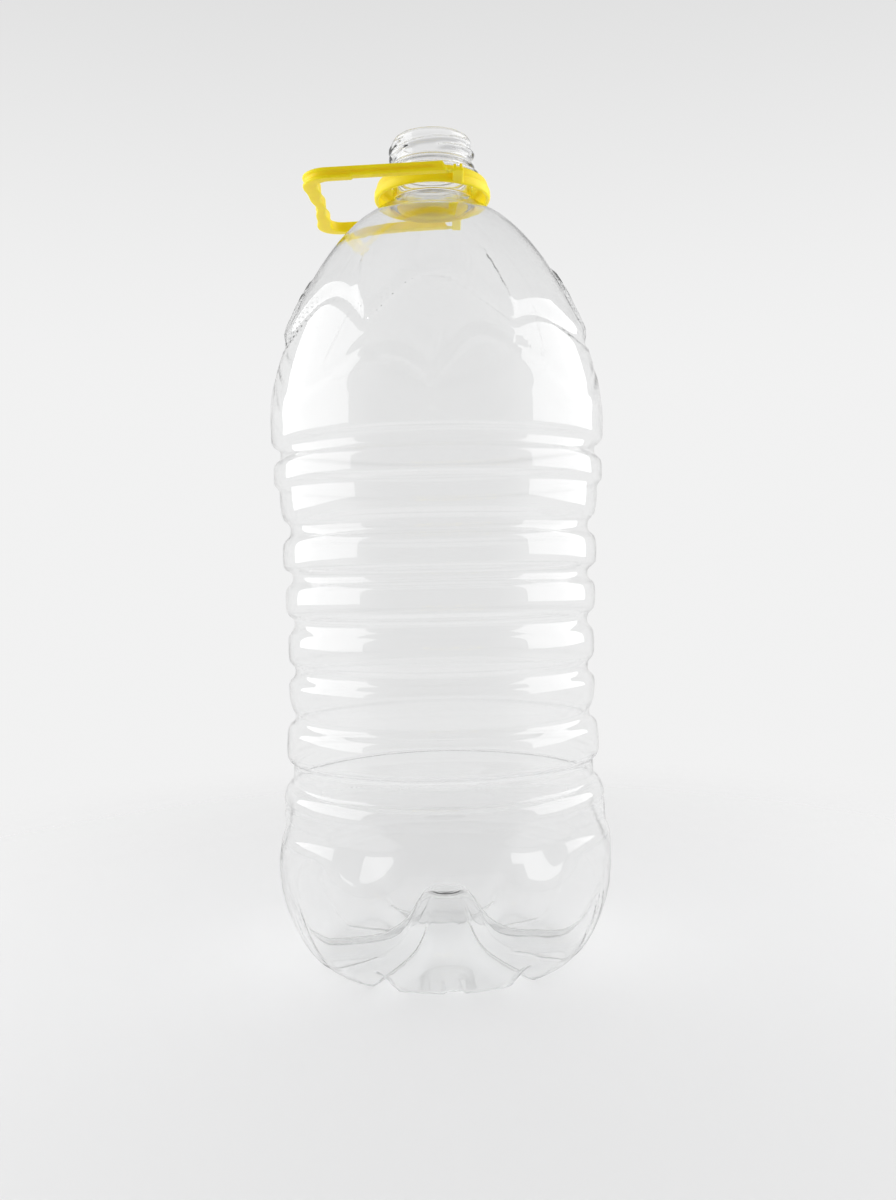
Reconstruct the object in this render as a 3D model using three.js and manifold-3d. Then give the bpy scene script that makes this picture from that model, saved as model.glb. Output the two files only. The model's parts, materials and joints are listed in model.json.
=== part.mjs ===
// A clear five-litre water bottle with a push-fit carry handle.
// Lengths are in millimetres and +Z is up. The origin is the centre of the plane that the bottle
// stands on, and the handle's bail points towards -X.
import * as THREE from 'three';
import { mergeVertices } from 'three/addons/utils/BufferGeometryUtils.js';
import Module from 'manifold-3d';

const wasm = await Module();
wasm.setup();

// ---- Driving dimensions: bottle ----
const SEGMENTS = 36;
const PETALS = 6; // feet of the base
const PETAL_PHASE = THREE.MathUtils.degToRad(-87); // the middle of one foot, nearly towards -Y
const PANELS = 7; // arched panels of the shoulder
const PANEL_PHASE = THREE.MathUtils.degToRad(-87.5); // the middle of one panel

const BODY_RADIUS = 75;
const BODY_WALL = 0.4;
const BASE_WALL = 1.2; // around the gate, where the plastic is hardly stretched
const NECK_ROOT_WALL = 1.8; // under the neck, where it is hardly stretched either

const FOOT_INNER = 47.5; // the flat sole of each foot lies between these two radii
const FOOT_OUTER = 54;
const PUSH_UP_HEIGHT = 25.5;
const CROWN_RADIUS = 6; // the push-up is level to here
const PUSH_UP_FALL = 10.4; // and this much further out it has fallen to half its height
const HEEL_HEIGHT = 41;
const HEEL_POWER = 1.7; // 2 would be an ellipse
const FLUTE_DEPTH = 10; // at the sole
const FLUTE_HALF_ANGLE = THREE.MathUtils.degToRad(9.5);
const FLUTE_TOP = 34; // the height at which the flutes have died out

const SHOULDER_BOTTOM = 236;
const SHOULDER_APEX = 344.2;
const SHOULDER_RADIUS = 75.4;
const SHOULDER_RISE_POWER = 5 / 3; // the dome is a superellipse with these two powers
const SHOULDER_CURVE_POWER = 0.52;

const ARCH_LOW = 270; // the arched bead of the shoulder, at the corners between panels
const ARCH_HIGH = 293.8; // and in the middle of a panel
const SWAG_HIGH = 264; // the hanging bead below it
const SWAG_LOW = 245;
const ARCH_HEIGHT = 1.5; // how far the beads stand out
const SWAG_HEIGHT = 0.9;
const BEAD_HALF_WIDTH = 6;

// ---- Driving dimensions: neck ----
const NECK_BOTTOM = 340.4;
const NECK_RADIUS = 18.1;
const BORE_RADIUS = 16.1;
const FLANGE_RADIUS = 22;
const FLANGE_BOTTOM = 349.9;
const FLANGE_THICKNESS = 1.6;
const BAND_BEAD_RADIUS = 19.6;
const BAND_BEAD_BOTTOM = 354.6;
const RIM_HEIGHT = 368.2;
const RIM_CHAMFER = 0.9;
const THREAD_STARTS = 3;
const THREAD_LEAD = 9.9;
const THREAD_SWEEP = THREE.MathUtils.degToRad(200);
const THREAD_BOTTOM = 359.1;
const THREAD_FIRST_ANGLE = THREE.MathUtils.degToRad(-86);
const THREAD_CREST = 19.65;
const THREAD_SECTION = 1.15; // radius of the round bead that makes one thread

// ---- Driving dimensions: handle ----
const RING_BOTTOM = 340.6;
const RING_HEIGHT = 8.2;
const RING_STEP = 4.4; // its side is upright to here, and slopes in above
const RING_TOP_RADIUS = 24.2;
const RING_RADIUS = 26.5;
const SKIRT_BORE = 24.3; // inside the ring's skirt
const WEB_BORE = 20.9; // inside its top web, above the lip's slope
const LIP_RADIUS = 18.9; // the lip that holds on the neck, under its flange

const HINGE_X = 8.2;
const HINGE_Z = 341.6;
const HINGE_GAP = 1.1; // from the hinge axis to the arm on one side and to the lug on the other
const WEB_THICKNESS = 0.6;
const LUG_LENGTH = 4.4;
const LUG_TOP = 0.3; // above the hinge axis
const LUG_BOTTOM = -0.7;
const GUSSET_THICKNESS = 1.3;
const GUSSET_HEIGHT = 4.4;
const GUSSET_START = 0.2; // from the near end of the lug
const GUSSET_PITCH = 2.6;

const ARM_OUTER = 37; // half the width over both arms
const ARM_THICKNESS = 4;
const ARM_TOP = 3.8; // above the hinge axis
const ARM_BOTTOM = 0;
const ARM_END_SLANT = 0.54; // how far the ends of the arms lean back for each unit of height
const CHANNEL_DEPTH = 0.9;
const FLANGE_HEIGHT = 1.2; // each flange of the arms' channel section
const GRIP_REACH = 64; // from the hinge axis to the outside of the grip's corners
const GRIP_THICKNESS = 5.2;
const GRIP_BOTTOM = -0.7;
const GRIP_START = 42; // the deeper grip section begins this far from the hinge axis
const CORNER_RADIUS = 11; // outside the grip's corners
const INNER_CORNER_RADIUS = 6;
const FINGER_PITCH = 18.5;
const FINGER_WAVE = 0.6; // on the inside of the grip
const KNUCKLE_WAVE = 0.42; // on its outside
const GRIP_HOLLOW = 2.4; // how far the middle of the grip bows towards the neck
const DROOP = THREE.MathUtils.degToRad(-2.1); // the resting slope of the bail

// ---- Small helpers ----
const point = (radius, height) => new THREE.Vector2(radius, height);
const smooth = (from, to, value) => THREE.MathUtils.smoothstep(value, from, to);
const range = (count) => Array.from({ length: count }, (_, index) => index);

function toManifold(geometry) {
  const bare = geometry.index ? geometry.clone() : mergeVertices(geometry);
  bare.deleteAttribute('normal');
  bare.deleteAttribute('uv');
  const merged = mergeVertices(bare, 1e-4);
  return new wasm.Manifold(new wasm.Mesh({
    numProp: 3,
    vertProperties: new Float32Array(merged.attributes.position.array),
    triVerts: new Uint32Array(merged.index.array),
  }));
}

function toGeometry(solid) {
  const mesh = solid.getMesh();
  const geometry = new THREE.BufferGeometry();
  geometry.setAttribute('position', new THREE.BufferAttribute(mesh.vertProperties, mesh.numProp));
  geometry.setIndex(new THREE.BufferAttribute(mesh.triVerts, 1));
  geometry.computeVertexNormals();
  return geometry;
}

// A lathe turned about +Z.
function lathe(profile, segments = SEGMENTS) {
  return new THREE.LatheGeometry(profile, segments).rotateX(Math.PI / 2);
}

function box(from, to) {
  const size = new THREE.Vector3().subVectors(to, from);
  const centre = new THREE.Vector3().addVectors(from, to).multiplyScalar(0.5);
  return new THREE.BoxGeometry(size.x, size.y, size.z).translate(centre.x, centre.y, centre.z);
}

function extrude(outline, bottom, top) {
  const shape = new THREE.Shape(outline);
  return new THREE.ExtrudeGeometry(shape, { depth: top - bottom, bevelEnabled: false })
    .translate(0, 0, bottom);
}

// ---- Bottle: the profile of the blown shell ----

// Underside, from the gate out to the feet: a bell-shaped push-up that dies out at the sole.
function basePoints() {
  const bell = (radius) => 1 / (1 + (Math.max(radius - CROWN_RADIUS, 0) / PUSH_UP_FALL) ** 3);
  const sole = bell(FOOT_INNER);
  const height = (radius) => PUSH_UP_HEIGHT * (bell(radius) - sole) / (1 - sole);
  const radii = [0, CROWN_RADIUS, 11, 14, 17.5, 23, 34, FOOT_INNER];
  return radii.map((radius) => point(radius, height(radius)));
}

// The rounded heel, a quarter of a superellipse from the sole to the side wall.
function heelPoints(count = 5) {
  return range(count).map((index) => {
    const turn = (index / count) * (Math.PI / 2);
    return point(
      FOOT_OUTER + (BODY_RADIUS - FOOT_OUTER) * Math.sin(turn) ** (2 / HEEL_POWER),
      HEEL_HEIGHT * (1 - Math.cos(turn) ** (2 / HEEL_POWER)),
    );
  });
}

// The side wall, as rings from bottom to top: each has a bottom, a top and the radius at both.
const RINGS = [
  { bottom: HEEL_HEIGHT, top: 57, lower: BODY_RADIUS, upper: BODY_RADIUS },
  { bottom: 60.6, top: 67.8, lower: BODY_RADIUS, upper: BODY_RADIUS },
  { bottom: 71.8, top: 76, lower: 71.2, upper: 72.2 },
  { bottom: 89.4, top: 103.6, lower: 70.3, upper: 69.7 },
  { bottom: 111.8, top: 123.6, lower: 68, upper: 69.1 },
  { bottom: 132.8, top: 144.8, lower: 68.9, upper: 68.9 },
  { bottom: 153.8, top: 165.6, lower: 69.7, upper: 69.7 },
  { bottom: 174, top: 186, lower: 70.5, upper: 70.5 },
  { bottom: 196, top: 209.2, lower: 70.5, upper: 71.8 },
  { bottom: 211.4, top: 219.8, lower: 74.3, upper: 74.3 },
  { bottom: 229.6, top: SHOULDER_BOTTOM, lower: BODY_RADIUS, upper: BODY_RADIUS },
];

// The groove above each ring but the last, by the radius of its floor.
const GROOVE_FLOORS = [73.8, 69, 67.8, 66.4, 66.2, 66.4, 66.7, 67.3, null, 71];
const GROOVE_SLOPE = 0.28; // the share of a groove's height that each of its flanks takes

function wallPoints() {
  const points = [];
  RINGS.forEach((ring, index) => {
    points.push(point(ring.lower, ring.bottom));
    points.push(point(ring.upper, ring.top));
    const floor = GROOVE_FLOORS[index];
    if (floor) {
      const gap = RINGS[index + 1].bottom - ring.top;
      points.push(point(floor, ring.top + GROOVE_SLOPE * gap));
      points.push(point(floor, ring.top + (1 - GROOVE_SLOPE) * gap));
    }
  });
  return points;
}

// The domed shoulder, a superellipse from the side wall to the root of the neck.
function shoulderRadius(height) {
  const rise = (height - SHOULDER_BOTTOM) / (SHOULDER_APEX - SHOULDER_BOTTOM);
  return SHOULDER_RADIUS * (1 - rise ** SHOULDER_RISE_POWER) ** SHOULDER_CURVE_POWER;
}

function shoulderPoints(count = 15) {
  const bottom = SHOULDER_BOTTOM + 4;
  const top = NECK_BOTTOM - 1;
  return range(count).map((index) => {
    const share = Math.sin((index / (count - 1)) * (Math.PI / 2));
    const height = THREE.MathUtils.lerp(bottom, top, share);
    return point(shoulderRadius(height), height);
  });
}

// The outside of the neck: support flange, tamper-band bead and the sealing rim.
function neckPoints() {
  const flangeTop = FLANGE_BOTTOM + FLANGE_THICKNESS;
  return [
    point(NECK_RADIUS, NECK_BOTTOM),
    point(NECK_RADIUS, FLANGE_BOTTOM - 0.4),
    point(FLANGE_RADIUS, FLANGE_BOTTOM),
    point(FLANGE_RADIUS, flangeTop),
    point(NECK_RADIUS, flangeTop + 0.5),
    point(NECK_RADIUS, BAND_BEAD_BOTTOM - 0.3),
    point(BAND_BEAD_RADIUS, BAND_BEAD_BOTTOM),
    point(BAND_BEAD_RADIUS, BAND_BEAD_BOTTOM + 0.8),
    point(NECK_RADIUS, BAND_BEAD_BOTTOM + 2),
    point(NECK_RADIUS, RIM_HEIGHT - RIM_CHAMFER * 1.6),
    point(NECK_RADIUS - RIM_CHAMFER, RIM_HEIGHT),
  ];
}

// The bore of the neck, from the rim down to the inside of the shoulder.
function borePoints() {
  return [point(BORE_RADIUS, RIM_HEIGHT), point(BORE_RADIUS, NECK_BOTTOM + 1)];
}

// The outward normal of an open profile at each of its points.
function profileNormals(points) {
  return points.map((_, index) => {
    const before = points[Math.max(index - 1, 0)];
    const after = points[Math.min(index + 1, points.length - 1)];
    const along = new THREE.Vector2().subVectors(after, before).normalize();
    return index === 0 ? point(0, -1) : point(along.y, -along.x);
  });
}

function wallThickness(at) {
  const nearGate = 1 - smooth(9, 30, at.x);
  const atBase = at.y < HEEL_HEIGHT ? nearGate * (BASE_WALL - BODY_WALL) : 0;
  const atNeck = smooth(SHOULDER_APEX - 16, SHOULDER_APEX - 4, at.y) * (NECK_ROOT_WALL - BODY_WALL);
  return BODY_WALL + atBase + atNeck;
}

// ---- Bottle: relief, as a distance along the outward normal ----

// The angle from the nearest corner between two of count equal sectors.
function cornerAngle(angle, count, phase) {
  const pitch = (2 * Math.PI) / count;
  const turns = (angle - phase) / pitch - 0.5;
  return Math.abs(turns - Math.round(turns)) * pitch;
}

// The narrow flutes between the feet, which run up the heel and in to the push-up.
function flute(at, angle) {
  const across = Math.min(cornerAngle(angle, PETALS, PETAL_PHASE) / FLUTE_HALF_ANGLE, 1);
  const onHeel = 0.8 * (1 - smooth(0, FLUTE_TOP / 2, at.y)) + 0.2 * (1 - smooth(0, FLUTE_TOP, at.y));
  const onBase = smooth(12, 40, at.x);
  return -FLUTE_DEPTH * Math.cos((across * Math.PI) / 2) ** 2 * onHeel * onBase;
}

// The two beads of the shoulder, which near each other at the corners and frame the panels.
function beads(at, angle) {
  const swing = Math.abs(Math.sin((cornerAngle(angle, PANELS, PANEL_PHASE) * PANELS) / 2));
  const arch = THREE.MathUtils.lerp(ARCH_LOW, ARCH_HIGH, swing);
  const swag = THREE.MathUtils.lerp(SWAG_HIGH, SWAG_LOW, swing);
  const bead = (line) => 1 - smooth(0, BEAD_HALF_WIDTH, Math.abs(at.y - line));
  return Math.max(ARCH_HEIGHT * bead(arch), SWAG_HEIGHT * bead(swag));
}

function relief(at, angle) {
  if (at.y < HEEL_HEIGHT) return flute(at, angle);
  return at.y > SHOULDER_BOTTOM + 2 ? beads(at, angle) : 0;
}

// ---- Bottle: the closed shell ----
function shellGeometry() {
  const skin = [...basePoints(), ...heelPoints(), ...wallPoints(), ...shoulderPoints()];
  const normals = profileNormals(skin);
  const lining = skin.map((at, index) => {
    const inward = at.clone().addScaledVector(normals[index], -wallThickness(at));
    return point(Math.max(inward.x, 0), inward.y);
  });
  const neck = [...neckPoints(), ...borePoints()];
  const profile = [...skin, ...neck, ...lining.slice().reverse()];
  const geometry = lathe(profile);
  const position = geometry.attributes.position;
  range(SEGMENTS + 1).forEach((turn) => {
    // One column of vertices lies along the middle of a foot, and so one along each flute.
    const angle = ((turn % SEGMENTS) / SEGMENTS) * 2 * Math.PI + PETAL_PHASE;
    profile.forEach((at, index) => {
      const skinIndex = index < skin.length ? index : profile.length - 1 - index;
      const reliefHere = skinIndex < skin.length ? relief(skin[skinIndex], angle) : 0;
      const moved = reliefHere ? at.clone().addScaledVector(normals[skinIndex], reliefHere) : at;
      const vertex = turn * profile.length + index;
      position.setXYZ(vertex, moved.x * Math.cos(angle), moved.x * Math.sin(angle), moved.y);
    });
  });
  return geometry;
}

// One thread: a round bead along a helix that sinks into the neck at both ends.
class ThreadPath extends THREE.Curve {
  constructor(startAngle) {
    super();
    this.startAngle = startAngle;
  }

  getPoint(t) {
    const fade = smooth(0, 0.12, t) * (1 - smooth(0.88, 1, t));
    const sunk = BORE_RADIUS + THREAD_SECTION + 0.1;
    const radius = THREE.MathUtils.lerp(sunk, THREAD_CREST - THREAD_SECTION, fade);
    const angle = this.startAngle + t * THREAD_SWEEP;
    const height = THREAD_BOTTOM + (t * THREAD_SWEEP * THREAD_LEAD) / (2 * Math.PI);
    return new THREE.Vector3(radius * Math.cos(angle), radius * Math.sin(angle), height);
  }
}

function threadGeometry(startAngle) {
  const section = new THREE.Shape().absarc(0, 0, THREAD_SECTION, 0, 2 * Math.PI);
  return new THREE.ExtrudeGeometry(section, {
    extrudePath: new ThreadPath(startAngle),
    steps: 16,
    curveSegments: 3,
  });
}

function makeBottle() {
  let solid = toManifold(shellGeometry());
  range(THREAD_STARTS).forEach((start) => {
    const angle = THREAD_FIRST_ANGLE + (start * 2 * Math.PI) / THREAD_STARTS;
    solid = solid.add(toManifold(threadGeometry(angle)));
  });
  return toGeometry(solid);
}

// ---- Handle: the ring that is pushed on under the neck's support flange ----
function ringProfile() {
  const edge = 0.5;
  const webBottom = RING_HEIGHT - 2.4;
  return [
    point(SKIRT_BORE, edge),
    point(SKIRT_BORE + edge, 0),
    point(RING_RADIUS - edge, 0),
    point(RING_RADIUS, edge),
    point(RING_RADIUS, RING_STEP),
    point(RING_TOP_RADIUS + edge, RING_HEIGHT - 0.4),
    point(RING_TOP_RADIUS, RING_HEIGHT),
    point(LIP_RADIUS, RING_HEIGHT),
    point(LIP_RADIUS, RING_HEIGHT - 1.2),
    point(WEB_BORE, webBottom + 0.3),
    point(SKIRT_BORE - 1, webBottom),
    point(SKIRT_BORE, webBottom - 1.6),
    point(SKIRT_BORE, edge),
  ];
}

// A plate or a gusset that stands out from the ring's skirt to one side, between two places along X.
function outrigger(side, fromX, toX, reach, bottom, top) {
  const root = SKIRT_BORE + 0.6;
  const inner = range(4).map((index) => {
    const x = THREE.MathUtils.lerp(toX, fromX, index / 3);
    return point(x, side * Math.sqrt(root ** 2 - x ** 2));
  });
  const outline = [point(fromX, side * reach), point(toX, side * reach), ...inner];
  return toManifold(extrude(outline, bottom, top));
}

// A lug on one side of the ring, which carries the living hinge, with two gussets up to the ring.
function lugSolid(side) {
  const from = HINGE_X + HINGE_GAP;
  const gussetReach = ARM_OUTER - ARM_THICKNESS - 1.2; // clear of the arm when it swings up
  const bottom = HINGE_Z + LUG_BOTTOM;
  let solid = outrigger(side, from, from + LUG_LENGTH, ARM_OUTER, bottom, HINGE_Z + LUG_TOP);
  range(2).forEach((index) => {
    const start = from + GUSSET_START + index * GUSSET_PITCH;
    const end = start + GUSSET_THICKNESS;
    solid = solid.add(outrigger(side, start, end, gussetReach, HINGE_Z, HINGE_Z + GUSSET_HEIGHT));
  });
  return solid;
}

function makeRing() {
  const body = toManifold(lathe(ringProfile()).translate(0, 0, RING_BOTTOM));
  return toGeometry(body.add(lugSolid(-1)).add(lugSolid(1)));
}

// ---- Handle: the bail, with its hinge axis along Y through the local origin ----

// The outside and inside edges of the grip at a place across it, both waved to fit the fingers.
const fingers = (y) => Math.cos((2 * Math.PI * y) / FINGER_PITCH);

function gripOuter(y, recess) {
  const half = ARM_OUTER - CORNER_RADIUS;
  const hollow = GRIP_HOLLOW * (0.5 + 0.5 * Math.cos((Math.PI * y) / half));
  return -GRIP_REACH + recess + hollow + KNUCKLE_WAVE * fingers(y);
}

function gripInner(y) {
  return -GRIP_REACH + GRIP_THICKNESS + GRIP_HOLLOW / 2 + FINGER_WAVE * fingers(y);
}

function arcPoints(centre, radius, from, to, count) {
  return range(count + 1).map((index) => {
    const angle = THREE.MathUtils.lerp(from, to, index / count);
    return point(centre.x + radius * Math.cos(angle), centre.y + radius * Math.sin(angle));
  });
}

// The U-shaped outline in plan; recess moves its outside face inwards.
function bailOutline(recess) {
  const outer = ARM_OUTER - recess;
  const inner = ARM_OUTER - ARM_THICKNESS;
  const half = ARM_OUTER - CORNER_RADIUS;
  const cornerX = -GRIP_REACH + CORNER_RADIUS;
  const innerRadius = INNER_CORNER_RADIUS;
  const innerX = gripInner(half) + innerRadius;
  const innerY = inner - innerRadius;
  const steps = range(25).map((index) => THREE.MathUtils.lerp(1, -1, index / 24));
  const outerCorner = (side) => arcPoints(point(cornerX, side * half), CORNER_RADIUS - recess,
    side > 0 ? Math.PI / 2 : Math.PI, side > 0 ? Math.PI : 1.5 * Math.PI, 5);
  const innerCorner = (side) => arcPoints(point(innerX, side * innerY), innerRadius,
    side > 0 ? Math.PI : 1.5 * Math.PI, side > 0 ? Math.PI / 2 : Math.PI, 4);
  return [
    point(-HINGE_GAP, outer),
    ...outerCorner(1),
    ...steps.slice(1, -1).map((step) => point(gripOuter(step * half, recess), step * half)),
    ...outerCorner(-1),
    point(-HINGE_GAP, -outer),
    point(-HINGE_GAP, -inner),
    ...innerCorner(-1),
    ...steps.slice(1, -1).reverse().map((step) => point(gripInner(step * innerY), step * innerY)),
    ...innerCorner(1),
    point(-HINGE_GAP, inner),
  ];
}

// Everything above the slanted ends of the arms is cut away by this wedge.
function endWedge() {
  const bottom = ARM_BOTTOM - 0.1;
  const top = ARM_TOP + 1;
  const side = new THREE.Shape([
    point(-HINGE_GAP, bottom),
    point(1, bottom),
    point(1, top),
    point(-HINGE_GAP - ARM_END_SLANT * (top - bottom), top),
  ]);
  const width = 2 * ARM_OUTER + 2;
  return new THREE.ExtrudeGeometry(side, { depth: width, bevelEnabled: false })
    .rotateX(Math.PI / 2)
    .translate(0, width / 2, 0);
}

function makeBail() {
  const full = bailOutline(0);
  const web = toManifold(extrude(bailOutline(CHANNEL_DEPTH), ARM_BOTTOM, ARM_TOP));
  const topFlange = toManifold(extrude(full, ARM_TOP - FLANGE_HEIGHT, ARM_TOP));
  const bottomFlange = toManifold(extrude(full, ARM_BOTTOM, ARM_BOTTOM + FLANGE_HEIGHT));
  const gripZone = toManifold(box(
    new THREE.Vector3(-GRIP_REACH - 5, -ARM_OUTER - 5, GRIP_BOTTOM - 1),
    new THREE.Vector3(-GRIP_START, ARM_OUTER + 5, ARM_TOP),
  ));
  const deepFlange = toManifold(extrude(full, GRIP_BOTTOM, ARM_BOTTOM + FLANGE_HEIGHT));
  const deepGrip = deepFlange.intersect(gripZone);
  const solid = web.add(topFlange).add(bottomFlange).add(deepGrip).subtract(toManifold(endWedge()));
  return toGeometry(solid);
}

// The thin strap between a lug and an arm, which bends as the bail swings.
function makeHingeWeb(side) {
  const half = HINGE_GAP - 0.3;
  const middle = side * (ARM_OUTER - ARM_THICKNESS / 2);
  const width = ARM_THICKNESS - 0.4;
  return box(
    new THREE.Vector3(-half, middle - width / 2, -WEB_THICKNESS / 2),
    new THREE.Vector3(half, middle + width / 2, WEB_THICKNESS / 2),
  );
}

// ---- Assembly ----
const clearPet = new THREE.MeshStandardMaterial({
  color: 0xe6ebee, roughness: 0.06, metalness: 0, transparent: true, opacity: 0.35,
});
const yellowPlastic = new THREE.MeshStandardMaterial({ color: 0xe8cf12, roughness: 0.38, metalness: 0 });

function named(name, geometry, material) {
  const mesh = new THREE.Mesh(geometry, material);
  mesh.name = name;
  return mesh;
}

const part = new THREE.Group();
part.add(named('bottle_shell', makeBottle(), clearPet));

const handle = new THREE.Group();
handle.add(named('handle_ring', makeRing(), yellowPlastic));

const hinge = new THREE.Group();
hinge.position.set(HINGE_X, 0, HINGE_Z);
hinge.add(named('hinge_web_front', makeHingeWeb(-1), yellowPlastic));
hinge.add(named('hinge_web_rear', makeHingeWeb(1), yellowPlastic));

const bail = named('handle_bail', makeBail(), yellowPlastic);
bail.rotation.y = DROOP;
hinge.add(bail);
handle.add(hinge);
part.add(handle);

export default part;
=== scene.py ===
"""A clear five-litre water bottle with a push-fit yellow carry handle, in a pale studio."""
import json
import math

import bpy
import numpy as np
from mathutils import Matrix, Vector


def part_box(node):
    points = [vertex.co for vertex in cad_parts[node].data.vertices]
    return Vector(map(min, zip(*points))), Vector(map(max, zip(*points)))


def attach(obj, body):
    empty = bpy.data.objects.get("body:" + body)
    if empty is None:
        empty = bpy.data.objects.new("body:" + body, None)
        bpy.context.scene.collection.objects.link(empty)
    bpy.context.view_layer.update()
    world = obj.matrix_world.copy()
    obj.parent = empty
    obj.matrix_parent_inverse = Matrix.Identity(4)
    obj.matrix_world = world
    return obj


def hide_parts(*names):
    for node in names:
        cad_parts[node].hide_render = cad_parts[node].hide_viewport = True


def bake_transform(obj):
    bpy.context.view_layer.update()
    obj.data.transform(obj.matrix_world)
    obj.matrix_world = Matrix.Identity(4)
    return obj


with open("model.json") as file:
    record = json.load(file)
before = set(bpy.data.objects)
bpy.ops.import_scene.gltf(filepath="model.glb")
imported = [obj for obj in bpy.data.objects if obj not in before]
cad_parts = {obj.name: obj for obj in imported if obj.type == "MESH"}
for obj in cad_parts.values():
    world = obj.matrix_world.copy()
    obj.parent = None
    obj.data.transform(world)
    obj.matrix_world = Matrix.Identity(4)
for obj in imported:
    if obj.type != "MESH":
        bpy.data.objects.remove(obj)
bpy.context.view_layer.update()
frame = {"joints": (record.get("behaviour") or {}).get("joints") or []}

MM = 0.001  # the sizes below are in millimetres, and the meshes are in metres

# ---- Sizes of the bottle ----
COLUMNS = 168  # around the bottle
ROWS = 325  # from the gate to the rim, outside
PETALS = 6  # feet of the base
PETAL_PHASE = math.radians(-87)  # the middle of one foot, nearly towards -Y
PANELS = 7  # arched panels of the shoulder
PANEL_PHASE = math.radians(-87.5)  # the middle of one panel

WALL_BLUR = 1.0  # how far the corners of the outline are eased, in the wall and the shoulder
LOW_BLUR = 0.6  # in the base, the heel and the lowest rings
NECK_BLUR = 0.22
LOW_BLUR_ENDS = (78, 84)  # the heights between which the low easing gives way

BODY_RADIUS = 75
BODY_WALL = 0.4
GATE_WALL = 1.4  # at the gate, where the plastic is hardly stretched
NECK_ROOT_WALL = 0.75  # under the neck, where it is stretched less

FOOT_INNER = 47.5  # the sole of each foot lies between these two radii
FOOT_OUTER = 54
PUSH_UP_HEIGHT = 25.5
CROWN_RADIUS = 6  # the push-up is level to here
PUSH_UP_FALL = 10.4  # and this much further out it has fallen to half its height
CROWN_RING = 11  # radius of the small raised ring around the crown
HEEL_HEIGHT = 41
HEEL_POWER = 1.7  # 2 would be an ellipse
FLUTE_DEPTH = 5.2  # at the sole
FLUTE_HALF_ANGLE = math.radians(12)
FLUTE_TOP = 34  # the height at which the flutes have died out
CREASE_DEPTH = 0.9  # of the channel up the middle of each foot
CREASE_HALF_WIDTH = 4.6
CREASE_TAPER_BOTTOM = 12  # above here it narrows
CREASE_TOP = 34
DIMPLE_DEPTH = 3.6
DIMPLE_HEIGHT = 58  # of its middle
DIMPLE_RADIUS = 14
DIMPLE_STRETCH = 1.6  # its width to its height
HEEL_LINE = 36.6  # height of the faint groove around the top of the heel
HEEL_LINE_DEPTH = 0.5
HEEL_LINE_SPREAD = 0.9
CROWN_RING_HEIGHT = 0.5
CROWN_RING_HALF_WIDTH = 1.2
UNEVENNESS = 0.06  # of the blown wall, for each of its three waves

SHOULDER_BOTTOM = 236
SHOULDER_APEX = 344.2
SHOULDER_RADIUS = 75.4
SHOULDER_RISE_POWER = 5 / 3  # the dome is a superellipse with these two powers
SHOULDER_CURVE_POWER = 0.52
SHOULDER_CONE_BOTTOM = 329.5  # from here it is straight to the root of the neck
ARCH_LOW = 272  # the arched groove, at the corners between panels
ARCH_HIGH = 293.5  # and in the middle of the tallest panel
ARCH_SWEEP = 12.5  # half the height by which the panels' tops fall away to both sides of the tallest
ARCH_SWEEP_PHASE = math.radians(-103)
ARCH_HEIGHT = 1.05
SWAG_HIGH = 262  # the hanging groove below it
SWAG_LOW = 247
SWAG_HEIGHT = 0.5
LEAF_TOP = 308  # the slender rib that rises from each corner of the panels
LEAF_HALF_WIDTH = 3.4
LEAF_HEIGHT = 1.4
LEAF_LEAN = math.radians(-8)  # how far around the bottle it leans on the way up

# The side wall's rings: bottom, top, radius at the bottom and radius at the top
RINGS = (
    (HEEL_HEIGHT, 60.5, 75, 74.8),
    (63.5, 67.5, 72.7, 72.6),
    (71.4, 77.4, 72.4, 72.2),
    (89.4, 103.6, 70.3, 69.7),
    (111.8, 123.6, 68, 69.1),
    (132.8, 144.8, 68.9, 68.9),
    (153.8, 165.6, 69.7, 69.7),
    (174, 186, 70.5, 70.5),
    (196, 209.2, 70.5, 71.8),
    (211.4, 219.8, 74.3, 74.3),
    (229.6, SHOULDER_BOTTOM, 75, 75),
)
GROOVE_FLOORS = (None, 72.2, 67.8, 66.4, 66.2, 66.4, 66.7, 67.3, None, 71)
GROOVE_SLOPE = 0.28  # the share of a groove's height that each flank takes
WAIST_SLOPE = 0.09  # the same for the broad waist, whose flanks are steep
WAIST = 2  # the groove that is the waist
RING_BULGE = 0.5  # how far the middle of a ring stands out, as a blown wall does
BULGING_RINGS = range(3, 9)
ROLLED_RINGS = (0, 2)  # the tops of these lean in before they end
ROLL_DROP = 1.7
ROLL_HEIGHT = 5.5

NECK_BOTTOM = 340.4
NECK_RADIUS = 18.1
BORE_RADIUS = 16.1
BORE_FILLET = 1.6  # where the bore opens into the shoulder
FLANGE_RADIUS = 22
FLANGE_BOTTOM = 349.9
FLANGE_THICKNESS = 1.6
BAND_BEAD_RADIUS = 19.6
BAND_BEAD_BOTTOM = 354.6
BAND_BEAD_LAND = 0.8
RIM_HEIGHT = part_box("bottle_shell")[1].z / MM
RIM_CHAMFER = 0.9
THREAD_STARTS = 3
THREAD_LEAD = 9.9
THREAD_SWEEP = math.radians(200)
THREAD_BOTTOM = 359.1
THREAD_FIRST_ANGLE = math.radians(-86)
THREAD_HEIGHT = 1.5
THREAD_HALF_WIDTH = 1.25

# ---- Sizes of the handle ----
RING_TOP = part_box("handle_ring")[1].z / MM
RING_HEIGHT = 8.2
RING_BOTTOM = RING_TOP - RING_HEIGHT
RING_STEP = 4.4  # its side is upright to here, and slopes in above
RING_TOP_RADIUS = 24.2
RING_RADIUS = 26.5
SKIRT_BORE = 24.3  # inside the ring's skirt
WEB_BORE = 20.9  # inside its top web, above the lip's slope
LIP_RADIUS = 18.9  # the lip that holds on the neck, under its flange

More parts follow.
